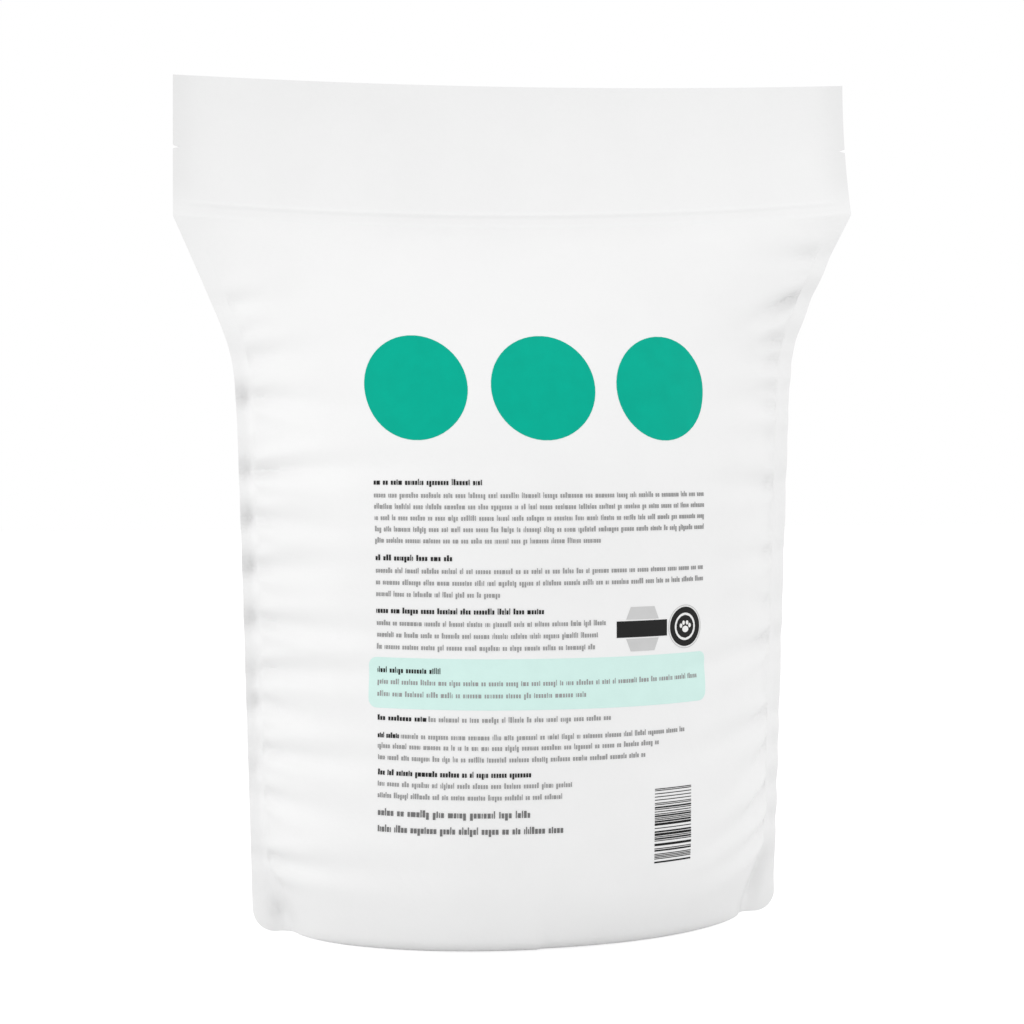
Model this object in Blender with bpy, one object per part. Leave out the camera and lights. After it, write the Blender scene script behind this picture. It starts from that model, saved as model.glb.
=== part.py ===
"""A filled stand-up pouch for cat litter, sealed, standing on its bottom gusset.

Metres, +Z up. The printed panel faces -Y, and the origin is on the floor under the middle of the pouch.
The film is welded along both sides into flat seals, so each horizontal section is two bulged panels that meet
at a flat fin on the left and on the right. The sections are lofted from the floor to the cut top edge.
"""

import math

import bmesh
import bpy

# Film and seals
POUCH_WIDTH = 0.3300  # flat film at the header, cut edge to cut edge
POUCH_HEIGHT = 0.4030  # floor to the cut top edge
SEAL_WIDTH = 0.0080  # side seal, both panels welded flat
SEAL_THICKNESS = 0.0010  # both panels and the sealing layer, with a little air
HEADER_THICKNESS = 0.0017  # the two panels of the header lie loosely on each other

# Zip, under the header
HEADER_HEIGHT = 0.0690  # zip to top edge at the middle of the pouch
ZIP_BAND = 0.0065  # lower ridge to upper ridge
ZIP_RIDGE = 0.0007  # how far each ridge stands out of the panel
ZIP_EDGE = 0.0020  # ridge flank, from crest to flat film
ZIP_SAG = 0.0065  # the full pouch pulls the zip's middle this far below its ends
TOP_SAG = 0.0030  # the same at the cut top edge
HEADER_TILT = 0.0032  # the header's right end stands this far above its middle, its left end below
SAG_REACH = 0.0800  # sag and tilt have faded this far under the zip

# Tear notches in the header's side seals
NOTCH_DROP = 0.0350  # top edge to notch
NOTCH_DEPTH = 0.0030
NOTCH_MOUTH = 0.0018

# The header isn't quite flat: its middle lies back, and its right end leans back from the zip up
HEADER_BOW = 0.0035
HEADER_CURL = 0.0030  # halfway up, the header lies this far behind the line from the zip to the top edge
HEADER_LEAN = 0.0130  # from the zip to the top edge, at the right end
LEAN_PIVOT = 0.45  # share of the header's height at which the lean crosses the middle plane

# Outline of the filled part
LEFT_SHOULDER_ANGLE = math.radians(25.5)  # side edge under the zip, from the vertical
RIGHT_SHOULDER_ANGLE = math.radians(27.5)
SHOULDER_ROUNDING = 0.0028
WAIST_WIDTH = 0.2700  # at the shoulder's foot
WAIST_HEIGHT = 0.2500
BASE_WIDTH = 0.2550  # just above the corners
CORNER_RADIUS = 0.0105  # rounded lower corner of each side seal

# Bulge of the two panels
FILLED_DEPTH = 0.1500  # front to back
FULL_HEIGHT = 0.1900  # the bulge has its full depth from here down
SHOULDER_FULLNESS = 0.80  # under 1 the bulge starts more abruptly below the zip
SECTION_SQUARENESS = 2.2  # 2 is an ellipse's side
SECTION_POWER = 0.80  # 0.5 is an ellipse's end, 1 a lens's
ZIP_SECTION_POWER = 0.95
FOOT_SECTION_POWER = 0.60
FOOT_LENGTH = 0.2180  # bulged part of the footprint, between the corner ears
FOOT_DEPTH = 0.1200  # before its lower edge is rolled under
FOOT_HEIGHT = 0.1200  # the panels draw in towards the floor from here
FOOT_SQUARENESS = 2.6
FOOT_ROLL = 0.0060  # radius by which the panels' lower edge rolls under, off the footprint
EAR_HEIGHT = 0.0420  # the flat corner ears widen out below here

# Bottom gusset: a welded skirt round the footprint, a crease, and the flat middle that the pouch stands on
SKIRT_SHARE = 0.09  # of the footprint's half-size
CREASE_SHARE = 0.03
CREASE_HEIGHT = 0.0020
CREASE_FLANK_SHARE = 0.07

# Puckers where the full panels gather at the side seals
PUCKER_HALF_HEIGHT = 0.0058
PUCKER_START = 0.0030  # a pucker reaches its full depth this far from the seal
LEFT_SEAL_WAVE = 0.0034  # how far each seal is pinched back at a pucker of the next depth
RIGHT_SEAL_WAVE = 0.0010
WAVE_PUCKER = 0.0026
BACK_WAVE_SHARE = 0.4  # the back panel's puckers pinch it forward by this share
FADE_BELOW_ZIP = 0.0200
FADE_ABOVE_FLOOR = 0.0200

# Each pucker of the front panel: height above the floor, depth, how far it runs in, and its rise on the way
LEFT_PUCKERS = (
    (0.295, 0.0010, 0.030, 0.10),
    (0.271, 0.0014, 0.034, 0.05),
    (0.252, 0.0022, 0.040, -0.08),
    (0.217, 0.0034, 0.052, 0.04),
    (0.195, 0.0023, 0.040, -0.05),
    (0.172, 0.0022, 0.038, 0.06),
    (0.147, 0.0026, 0.056, -0.03),
    (0.124, 0.0024, 0.060, 0.05),
    (0.107, 0.0018, 0.036, -0.06),
    (0.086, 0.0022, 0.060, 0.02),
    (0.065, 0.0019, 0.042, -0.05),
    (0.035, 0.0024, 0.056, 0.04),
)
RIGHT_PUCKERS = (
    (0.316, 0.0026, 0.022, 0.00),
    (0.298, 0.0050, 0.024, -0.40),
    (0.279, 0.0034, 0.034, -0.10),
    (0.271, 0.0034, 0.034, -0.10),
    (0.256, 0.0028, 0.036, 0.00),
    (0.249, 0.0028, 0.036, 0.00),
    (0.234, 0.0014, 0.030, -0.05),
    (0.211, 0.0030, 0.044, 0.00),
    (0.177, 0.0022, 0.038, -0.04),
    (0.152, 0.0014, 0.030, 0.03),
    (0.135, 0.0032, 0.050, -0.10),
    (0.098, 0.0028, 0.050, -0.12),
    (0.082, 0.0024, 0.034, -0.30),
    (0.063, 0.0034, 0.046, -0.30),
    (0.045, 0.0032, 0.044, -0.22),
)

# Mesh
ROW_STEP = 0.0054
CORNER_ROWS = 5
BULGE_COLUMNS = 22
LOOSE_ROWS = 3  # between the notches and the top edge
SLOPE_STEP = 0.01  # share of the bulge's half-width over which its slope is measured

ZIP_HEIGHT = POUCH_HEIGHT - HEADER_HEIGHT
FRONT, BACK = -1, 1
LEFT, RIGHT = -1, 1


def smooth_step(x):
    x = min(1.0, max(0.0, x))
    return x * x * (3.0 - 2.0 * x)


def outline_half_width(side, z):
    """From the middle to the cut edge of one side seal, before the lower corner is rounded."""
    angle = LEFT_SHOULDER_ANGLE if side == LEFT else RIGHT_SHOULDER_ANGLE
    shoulder = POUCH_WIDTH / 2 - (ZIP_HEIGHT - z) * math.tan(angle)
    body = (BASE_WIDTH + (WAIST_WIDTH - BASE_WIDTH) * z / WAIST_HEIGHT) / 2
    rounded = (shoulder + body) / 2 + math.hypot((shoulder - body) / 2, SHOULDER_ROUNDING)
    return min(POUCH_WIDTH / 2, rounded)


def corner_cut(z):
    """How much the rounded lower corner takes off the outline at height z."""
    rise = max(0.0, CORNER_RADIUS - z)
    return CORNER_RADIUS - math.sqrt(CORNER_RADIUS**2 - rise**2)


def bulge_half_width(side, z):
    """From the middle to the inner edge of one side seal, which runs in at the ears."""
    along_seal = outline_half_width(side, z) - SEAL_WIDTH
    ear = 1.0 - smooth_step(z / EAR_HEIGHT)
    return along_seal + (FOOT_LENGTH / 2 - along_seal) * ear


def bulge_half_depth(z):
    """How far the middle of a panel stands out of the pouch's middle plane at height z."""
    under_zip = min(1.0, max(0.0, (ZIP_HEIGHT - z) / (ZIP_HEIGHT - FULL_HEIGHT)))
    top = math.sin(math.pi / 2 * under_zip**SHOULDER_FULLNESS)
    lift = min(1.0, z / FOOT_HEIGHT)
    foot = (1.0 - (1.0 - lift) ** FOOT_SQUARENESS) ** FOOT_SECTION_POWER
    drawn_in = (FILLED_DEPTH - FOOT_DEPTH) / 2 * (1.0 - foot)
    below = max(0.0, FOOT_ROLL - z)
    rolled_in = FOOT_ROLL - math.sqrt(FOOT_ROLL**2 - below**2)
    return top * (FILLED_DEPTH / 2 - drawn_in - rolled_in)


def section_power(z):
    """The section changes from an oval at the floor to two arcs and then to a thin lens at the zip."""
    under_zip = smooth_step((ZIP_HEIGHT - z) / (ZIP_HEIGHT - FULL_HEIGHT))
    lifted = FOOT_SECTION_POWER + (SECTION_POWER - FOOT_SECTION_POWER) * smooth_step(z / FOOT_HEIGHT)
    return ZIP_SECTION_POWER + (lifted - ZIP_SECTION_POWER) * under_zip


def panel_rise(z, across):
    """How far a panel stands out at a place across its bulge, from -1 at the left seal to 1 at the right."""
    inside = max(0.0, 1.0 - abs(across) ** SECTION_SQUARENESS)
    return bulge_half_depth(z) * inside ** section_power(z)


def header_share(z):
    """0 at the zip, 1 at the cut top edge."""
    return max(0.0, (z - ZIP_HEIGHT) / HEADER_HEIGHT)


def header_reach(z):
    """1 in the header, fading to 0 below the zip."""
    return smooth_step((z - ZIP_HEIGHT + SAG_REACH) / SAG_REACH)


def middle_plane(x, z):
    """Y of the middle plane, which bends a little in the header."""
    along = x / (POUCH_WIDTH / 2)
    to_right = ((1.0 + along) / 2) ** 2
    lean = HEADER_LEAN * to_right * (header_share(z) - LEAN_PIVOT)
    curl = HEADER_CURL * 4.0 * header_share(z) * (1.0 - header_share(z))
    return header_reach(z) * (lean + curl + HEADER_BOW * (1.0 - along**2))


def sagged(z, x):
    """Height of a point that lies at height z on the pouch's middle line, out at x."""
    along = x / (POUCH_WIDTH / 2)
    sag = ZIP_SAG + (TOP_SAG - ZIP_SAG) * header_share(z)
    return z + header_reach(z) * (sag * along**2 + HEADER_TILT * along)


def pucker_fade(z):
    """Puckers die out at the zip and at the floor."""
    return smooth_step((ZIP_HEIGHT - z) / FADE_BELOW_ZIP) * smooth_step(z / FADE_ABOVE_FLOOR)


def back_puckers(puckers):
    """The back panel gathers between the front panel's puckers."""
    pairs = zip(puckers, puckers[1:])
    return [((high[0] + low[0]) / 2, low[1], high[2], low[3]) for high, low in pairs]


PUCKERS = {
    (FRONT, LEFT): LEFT_PUCKERS,
    (FRONT, RIGHT): RIGHT_PUCKERS,
    (BACK, LEFT): back_puckers(LEFT_PUCKERS),
    (BACK, RIGHT): back_puckers(RIGHT_PUCKERS),
}


def pucker_depth(face, side, z, inward):
    """How far the puckers of one seal pull a panel in, at a distance inward from the seal."""
    total = 0.0
    for height, depth, reach, rise in PUCKERS[face, side]:
        offset = (z - height - rise * inward) / PUCKER_HALF_HEIGHT
        total += depth * math.exp(-(offset**2)) * math.exp(-((inward / reach) ** 1.5))
    return total * pucker_fade(z) * (1.0 - math.exp(-inward / PUCKER_START))


def seal_wave(side, z):
    """The seal itself weaves back at the front panel's puckers and forward at the back panel's."""
    wave = 0.0
    for face, share in ((FRONT, 1.0), (BACK, BACK_WAVE_SHARE)):
        for height, depth, _, _ in PUCKERS[face, side]:
            pinch = depth / WAVE_PUCKER * math.exp(-(((z - height) / PUCKER_HALF_HEIGHT) ** 2))
            wave -= face * share * pinch
    deepest = LEFT_SEAL_WAVE if side == LEFT else RIGHT_SEAL_WAVE
    return deepest * wave * pucker_fade(z)


def bulge_point(face, z, across):
    """A point of a panel between its two seals, at the middle line's height z."""
    side = RIGHT if across > 0 else LEFT
    half_width = bulge_half_width(side, z)
    x = across * half_width
    rise = panel_rise(z, across)
    inward = math.hypot(half_width - abs(x), rise)
    inner, outer = abs(across) - SLOPE_STEP, min(1.0, abs(across) + SLOPE_STEP)
    slope = (panel_rise(z, inner) - panel_rise(z, outer)) / ((outer - inner) * half_width)
    length = math.hypot(1.0, slope)
    pull = pucker_depth(face, side, z, inward)
    skin = (SEAL_THICKNESS + loose_film(z)) / 2
    weave = seal_wave(side, z) * math.exp(-inward / SEAL_WIDTH)
    x -= side * pull * slope / length
    y = middle_plane(x, z) + weave + face * (rise + skin - pull / length)
    return (x, y, sagged(z, x))


def loose_film(z):
    """Extra thickness where the two header panels lie loosely together."""
    return (HEADER_THICKNESS - SEAL_THICKNESS) * smooth_step((z - ZIP_HEIGHT) / ZIP_BAND + 1.0)


def seal_point(face, side, z, from_edge):
    """A point of a side seal, at a share of the seal's width in from its cut edge."""
    edge = outline_half_width(side, z) - corner_cut(z)
    x = side * (edge + (bulge_half_width(side, z) - edge) * from_edge)
    y = middle_plane(x, z) + seal_wave(side, z) + face * SEAL_THICKNESS / 2
    return (x, y, sagged(z, x))


def ring(z, ridge=0.0, notch=0.0):
    """One closed section, counter-clockwise from the left end of the front panel."""
    columns = [math.sin(math.pi / 2 * (2 * i / BULGE_COLUMNS - 1)) for i in range(1, BULGE_COLUMNS)]
    faces = []
    for face in (FRONT, BACK):
        bulge = [bulge_point(face, z, across) for across in columns]
        bulge = [(x, y + face * ridge, height) for x, y, height in bulge]
        left = [seal_point(face, LEFT, z, 0.0), seal_point(face, LEFT, z, 1.0)]
        right = [seal_point(face, RIGHT, z, 1.0), seal_point(face, RIGHT, z, 0.0)]
        left[0] = (left[0][0] + notch, left[0][1], left[0][2])
        right[1] = (right[1][0] - notch, right[1][1], right[1][2])
        faces.append(left + bulge + right)
    return faces[0] + faces[1][::-1]


def row_heights():
    """Heights of the rows from the floor to just under the zip, closer together round the lower corners."""
    corner = [CORNER_RADIUS * (i / CORNER_ROWS) ** 2 for i in range(CORNER_ROWS)]
    rise = ZIP_HEIGHT - ZIP_EDGE - CORNER_RADIUS
    count = round(rise / ROW_STEP)
    return corner + [CORNER_RADIUS + rise * i / count for i in range(count + 1)]


def header_rows():
    """Rows of the zip, the tear notches and the top edge: height, ridge and notch depth."""
    notch = POUCH_HEIGHT - NOTCH_DROP
    rows = [
        (ZIP_HEIGHT, ZIP_RIDGE, 0.0),
        (ZIP_HEIGHT + ZIP_EDGE, 0.0, 0.0),
        (ZIP_HEIGHT + ZIP_BAND, ZIP_RIDGE, 0.0),
        (ZIP_HEIGHT + ZIP_BAND + ZIP_EDGE, 0.0, 0.0),
        (notch - NOTCH_MOUTH / 2, 0.0, 0.0),
        (notch, 0.0, NOTCH_DEPTH),
        (notch + NOTCH_MOUTH / 2, 0.0, 0.0),
    ]
    start = notch + NOTCH_MOUTH / 2
    step = (POUCH_HEIGHT - start) / LOOSE_ROWS
    return rows + [(start + step * i, 0.0, 0.0) for i in range(1, LOOSE_ROWS + 1)]


def gusset_rings(footprint):
    """Rings of the underside, drawn in from the bulged footprint: skirt, crease and flat middle."""
    inner = 1.0 - SKIRT_SHARE
    crease = inner - CREASE_SHARE
    flat = crease - CREASE_FLANK_SHARE
    steps = ((inner, 0.0), (crease, CREASE_HEIGHT), (flat, 0.0))
    return [[(x * share, y * share, height) for x, y, _ in footprint] for share, height in steps]


def add_loft(mesh, rings):
    """Quads between each ring and the next one, and the rings' vertices."""
    loops = [[mesh.verts.new(point) for point in points] for points in rings]
    for low, high in zip(loops, loops[1:]):
        for i, start in enumerate(low):
            j = (i + 1) % len(low)
            mesh.faces.new((start, low[j], high[j], high[i]))
    return loops


def close_ring(mesh, loop, upward):
    """Quads across a ring, from each front vertex to the back vertex opposite."""
    half = len(loop) // 2
    for i in range(half - 1):
        quad = (loop[i], loop[i + 1], loop[-2 - i], loop[-1 - i])
        mesh.faces.new(quad if upward else quad[::-1])


def build_pouch():
    mesh = bmesh.new()
    body = [ring(z) for z in row_heights()]
    header = [ring(z, ridge, notch) for z, ridge, notch in header_rows()]
    loops = add_loft(mesh, body + header)
    close_ring(mesh, loops[-1], upward=True)

    # The ears' lower edges are closed by themselves, and the gusset fills what lies between them.
    floor = loops[0]
    half = len(floor) // 2
    mesh.faces.new((floor[-1], floor[-2], floor[1], floor[0]))
    mesh.faces.new((floor[half - 1], floor[half - 2], floor[half + 1], floor[half]))
    footprint = floor[1 : half - 1] + floor[half + 1 : -1]
    under = add_loft(mesh, gusset_rings([vertex.co for vertex in footprint]))
    for i, start in enumerate(footprint):
        j = (i + 1) % len(footprint)
        mesh.faces.new((footprint[j], start, under[0][i], under[0][j]))
    close_ring(mesh, under[-1], upward=False)
    bmesh.ops.recalc_face_normals(mesh, faces=mesh.faces)
    bmesh.ops.triangulate(mesh, faces=mesh.faces, quad_method="SHORT_EDGE")

    data = bpy.data.meshes.new("litter_bag")
    mesh.to_mesh(data)
    mesh.free()
    data.shade_smooth()
    data.set_sharp_from_angle(angle=math.radians(50))
    pouch = bpy.data.objects.new("litter_bag", data)
    bpy.context.scene.collection.objects.link(pouch)
    return pouch


def white_film():
    material = bpy.data.materials.new("white pouch film")
    material.use_nodes = True
    shader = material.node_tree.nodes["Principled BSDF"]
    shader.inputs["Base Color"].default_value = (0.90, 0.90, 0.90, 1.0)
    shader.inputs["Roughness"].default_value = 0.45
    shader.inputs["Metallic"].default_value = 0.0
    return material


def main():
    for old in list(bpy.data.objects):
        bpy.data.objects.remove(old)
    pouch = build_pouch()
    pouch.data.materials.append(white_film())


main()
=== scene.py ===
"""Looks of a filled stand-up pouch for cat litter: white matte film, its print, and a plain pale studio.

Laid out as an add-on and run as a script. Metres, +Z up. The printed panel faces -Y, and the origin is on the
floor under the middle of the pouch. The film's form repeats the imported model's; the creases are finer.
"""

import math

import bpy
import numpy as np
from bpy.props import FloatProperty, FloatVectorProperty, IntProperty, PointerProperty
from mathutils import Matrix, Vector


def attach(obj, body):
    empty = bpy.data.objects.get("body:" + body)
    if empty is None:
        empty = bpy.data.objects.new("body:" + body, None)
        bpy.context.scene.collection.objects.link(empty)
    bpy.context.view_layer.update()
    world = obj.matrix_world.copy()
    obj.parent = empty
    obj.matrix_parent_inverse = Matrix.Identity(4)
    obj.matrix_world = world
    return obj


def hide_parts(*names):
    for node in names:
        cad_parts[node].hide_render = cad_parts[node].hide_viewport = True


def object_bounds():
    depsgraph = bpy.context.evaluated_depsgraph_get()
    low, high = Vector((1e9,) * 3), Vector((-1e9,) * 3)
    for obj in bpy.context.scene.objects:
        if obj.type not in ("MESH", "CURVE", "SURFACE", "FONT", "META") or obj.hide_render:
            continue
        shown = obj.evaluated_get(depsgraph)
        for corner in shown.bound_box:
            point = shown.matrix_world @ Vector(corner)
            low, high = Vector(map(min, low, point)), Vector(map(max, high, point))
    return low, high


bl_info = {
    "name": "Cat litter pouch",
    "version": (1, 0, 0),
    "blender": (4, 5, 0),
    "location": "3D View > Sidebar > Litter pouch",
    "description": "A filled stand-up film pouch, its print and a plain studio",
    "category": "Object",
}

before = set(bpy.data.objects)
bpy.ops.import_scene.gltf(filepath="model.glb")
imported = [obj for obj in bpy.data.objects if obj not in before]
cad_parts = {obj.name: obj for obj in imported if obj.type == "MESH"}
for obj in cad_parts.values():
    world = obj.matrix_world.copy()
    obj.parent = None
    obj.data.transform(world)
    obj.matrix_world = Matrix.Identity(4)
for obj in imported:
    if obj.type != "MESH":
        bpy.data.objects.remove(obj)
CAD_LOW, CAD_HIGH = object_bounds()
CAD_SIZE = [high - low for low, high in zip(CAD_LOW, CAD_HIGH)]

# Film, seals and zip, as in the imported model
SEAL_THICKNESS = 0.0010
HEADER_THICKNESS = 0.0017
ZIP_BAND = 0.0065
ZIP_RIDGE = 0.0007
ZIP_RIDGE_HALF = 0.0011  # half-height of a ridge where the track presses through
LOWER_RIDGE_SHARE = 0.7  # the lower track shows less than the upper one
RIDGE_END_LOSS = 0.5  # share of a ridge's height that is lost at the pouch's sides
ZIP_SAG = 0.0065
TOP_SAG = 0.0030
HEADER_TILT = 0.0032
SAG_REACH = 0.0800
NOTCH_DROP = 0.0350
NOTCH_DEPTH = 0.0030
NOTCH_MOUTH = 0.0018
HEADER_BOW = 0.0035
HEADER_CURL = 0.0030
HEADER_LEAN = 0.0130
LEAN_PIVOT = 0.45

# Outline and bulge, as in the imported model
LEFT_SHOULDER_ANGLE = math.radians(25.5)
RIGHT_SHOULDER_ANGLE = math.radians(27.5)
SHOULDER_ROUNDING = 0.0028
WAIST_HEIGHT = 0.2500
CORNER_RADIUS = 0.0105
FULL_HEIGHT = 0.1900
SHOULDER_FULLNESS = 0.80
SECTION_SQUARENESS = 2.2
SECTION_POWER = 0.80
ZIP_SECTION_POWER = 0.95
FOOT_SECTION_POWER = 0.60
FOOT_HEIGHT = 0.1200
FOOT_SQUARENESS = 2.6
FOOT_ROLL = 0.0060
EAR_HEIGHT = 0.0420

# Puckers at the side seals
PUCKER_HALF_HEIGHT = 0.0058
PUCKER_NARROW = 0.55  # share of that half-height right at the seal
PUCKER_START = 0.0022
LEFT_SEAM_GAIN = 0.35  # a pucker is this much deeper close to the seal
RIGHT_SEAM_GAIN = 0.1
PUCKER_SEAM_REACH = 0.0090
PILLOW_SHARE = 0.34  # the film between two puckers stands out by this share of their depth
PILLOW_OFFSET = 1.75  # in half-heights
CREASE_FADE_POWER = 1.5
LEFT_SEAL_WAVE = 0.0022
RIGHT_SEAL_WAVE = 0.0010
SEAL_WAVE_HALF_HEIGHT = 0.0044
WAVE_PUCKER = 0.0026
BACK_WAVE_SHARE = 0.4
LEFT_FIN_SLOPE = 0.25  # the seals turn back a little, from the seam to the cut edge
RIGHT_FIN_SLOPE = 0.25

# Right end of the foot, where the film is tucked in towards the floor
FOOT_TUCK = 0.24  # as a share of the depth there
TUCK_HEIGHT = 0.0280  # where the tuck starts
TUCK_REACH = 0.0600  # inward along the film

# Pits where the full panels pinch the left seal and where the ears leave the foot: height, depth
LEFT_PITS = (
    (0.252, 0.0052),
    (0.218, 0.0044),
    (0.195, 0.0058),
    (0.172, 0.0062),
    (0.147, 0.0052),
    (0.120, 0.0042),
    (0.108, 0.0048),
    (0.078, 0.0036),
    (0.009, 0.0034),
)
RIGHT_PITS = (
    (0.026, 0.0022),
    (0.018, 0.0034),
    (0.010, 0.0034),
)
PIT_FROM_SEAM = 0.0031
PIT_HALF_WIDTH = 0.0038
PIT_HALF_HEIGHT = 0.0054
FADE_BELOW_ZIP = 0.0200
FADE_ABOVE_FLOOR = 0.0200
# Height above the floor, depth, how far the pucker runs in, and its rise on the way
LEFT_PUCKERS = (
    (0.295, 0.0010, 0.030, 0.10),
    (0.271, 0.0014, 0.034, 0.05),
    (0.252, 0.0022, 0.040, -0.08),
    (0.217, 0.0034, 0.052, 0.04),
    (0.195, 0.0023, 0.040, -0.05),
    (0.172, 0.0022, 0.038, 0.06),
    (0.147, 0.0026, 0.056, -0.03),
    (0.124, 0.0024, 0.060, 0.05),
    (0.107, 0.0018, 0.036, -0.06),
    (0.086, 0.0022, 0.060, 0.02),
    (0.065, 0.0019, 0.042, -0.05),
    (0.035, 0.0024, 0.056, 0.04),
)
RIGHT_PUCKERS = (
    (0.316, 0.0026, 0.022, 0.00),
    (0.298, 0.0050, 0.024, -0.40),
    (0.279, 0.0034, 0.034, -0.10),
    (0.271, 0.0034, 0.034, -0.10),
    (0.256, 0.0028, 0.036, 0.00),
    (0.249, 0.0028, 0.036, 0.00),
    (0.234, 0.0014, 0.030, -0.05),
    (0.211, 0.0030, 0.044, 0.00),
    (0.177, 0.0022, 0.038, -0.04),
    (0.152, 0.0014, 0.030, 0.03),
    (0.135, 0.0032, 0.050, -0.10),
    (0.098, 0.0028, 0.050, -0.12),
    (0.082, 0.0024, 0.034, -0.30),
    (0.063, 0.0034, 0.046, -0.30),
    (0.045, 0.0032, 0.044, -0.22),
)

# Fine creases and dents are drawn at random between these limits
FINE_HALF_HEIGHT = 0.6  # as a share of a pucker's
FINE_HEIGHTS = (0.02, 0.32)
FINE_DEPTHS = (0.35, 1.0)  # as a share of the deepest
FINE_REACHES = (0.008, 0.020)
FINE_RISES = (-0.25, 0.25)
DENT_STREAM = 10  # keeps the dents' draw apart from the creases'
DENT_PLACES = (-0.5, 0.5)  # across, as a share of the base's width
DENT_HEIGHTS = (0.03, 0.95)  # as a share of the zip's height
DENT_RADII = (0.014, 0.032)

# Folded bottom: how far in from the footprint, as a share of its half-size, and the height there
GUSSET_STEPS = (
    (0.97, 0.0),
    (0.91, 0.0),
    (0.895, 0.0009),
    (0.88, 0.0020),
    (0.865, 0.0016),
    (0.84, 0.0006),
    (0.81, 0.0),
    (0.60, 0.0),
    (0.30, 0.0),
)

# Mesh
ROW_STEP = 0.0017
ZIP_ROW_STEP = 0.0005
CORNER_ROWS = 12
FIN_COLUMNS = 8  # of each side seal
BULGE_COLUMNS = 124
SHARP_ANGLE = 50.0
SEAM_BLUR_REACH = 3.0  # in seam roundings
SEAM_BLUR_CUT = 0.05
FRONT, BACK = -1, 1
LEFT, RIGHT = -1, 1

# Print, measured on the flat film from its middle line and from the floor
INK_ROOT = 0.0001  # how far an ink layer reaches under the film's surface, so that it has no gap
PRINT_STEP = 0.0020
CORNER_STEPS = 5
RING_STEPS = 48
OVAL_END = math.radians(86)  # an oval's lowest and highest rows stop just short of its tips
TEXT_LEFT = -0.0777
TEXT_RIGHT = 0.0786
TEXT_FOOT = 0.0600
TEXT_SPREAD = 0.0130  # each end of a line moves out by this share of its height over the text's foot


def linear_colour(hex_code):
    """An sRGB hex colour as the linear red, green and blue that Blender's sockets take."""
    channels = [int(hex_code[i : i + 2], 16) / 255 for i in (1, 3, 5)]
    return tuple(c / 12.92 if c <= 0.04045 else ((c + 0.055) / 1.055) ** 2.4 for c in channels)


class PouchForm(bpy.types.PropertyGroup):
    """Sizes of the filled pouch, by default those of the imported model."""

    width: FloatProperty(
        name="Width", description="Flat film at the header, cut edge to cut edge",
        default=CAD_SIZE[0], unit="LENGTH", precision=4,
    )
    height: FloatProperty(
        name="Height", description="Floor to the cut top edge, at the middle",
        default=CAD_SIZE[2] - TOP_SAG - HEADER_TILT, unit="LENGTH", precision=4,
    )
    depth: FloatProperty(
        name="Depth", description="Front to back of the filled part",
        default=CAD_SIZE[1] - SEAL_THICKNESS, unit="LENGTH", precision=4,
    )
    header_height: FloatProperty(
        name="Header height", description="Zip to top edge", default=0.069, unit="LENGTH", precision=4,
    )
    seal_width: FloatProperty(
        name="Seal width", description="Welded side seal", default=0.008, unit="LENGTH", precision=4,
    )
    waist_width: FloatProperty(
        name="Waist width", description="Cut edge to cut edge at the shoulder's foot",
        default=0.270, unit="LENGTH", precision=4,
    )
    base_width: FloatProperty(
        name="Base width", description="Cut edge to cut edge above the lower corners",
        default=0.255, unit="LENGTH", precision=4,
    )
    foot_length: FloatProperty(
        name="Foot length", description="Footprint between the corner ears",
        default=0.218, unit="LENGTH", precision=4,
    )
    foot_depth: FloatProperty(
        name="Foot depth", description="Footprint, front to back", default=0.120, unit="LENGTH", precision=4,
    )


class FilmCreases(bpy.types.PropertyGroup):
    """How the film gathers and dents."""

    seam_rounding: FloatProperty(
        name="Seam rounding", description="How softly a panel leaves its side seal",
        default=0.0040, unit="LENGTH", precision=4,
    )
    pucker_gain: FloatProperty(
        name="Pucker depth", description="Depth of the puckers, as a share of the packed model's",
        default=1.2, subtype="FACTOR", min=0.0, max=2.0,
    )
    fine_creases: IntProperty(
        name="Fine creases", description="Small creases at each side seal of each panel", default=12, min=0,
    )
    fine_depth: FloatProperty(
        name="Fine crease depth", description="Depth of the deepest fine crease",
        default=0.0007, unit="LENGTH", precision=4,
    )
    dents: IntProperty(
        name="Dents", description="Shallow dents and swells of each panel", default=44, min=0,
    )
    dent_depth: FloatProperty(
        name="Dent depth", description="Depth of the deepest dent",
        default=0.0005, unit="LENGTH", precision=4,
    )
    seed: IntProperty(name="Seed", description="Draw of the fine creases and dents", default=7)


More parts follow.
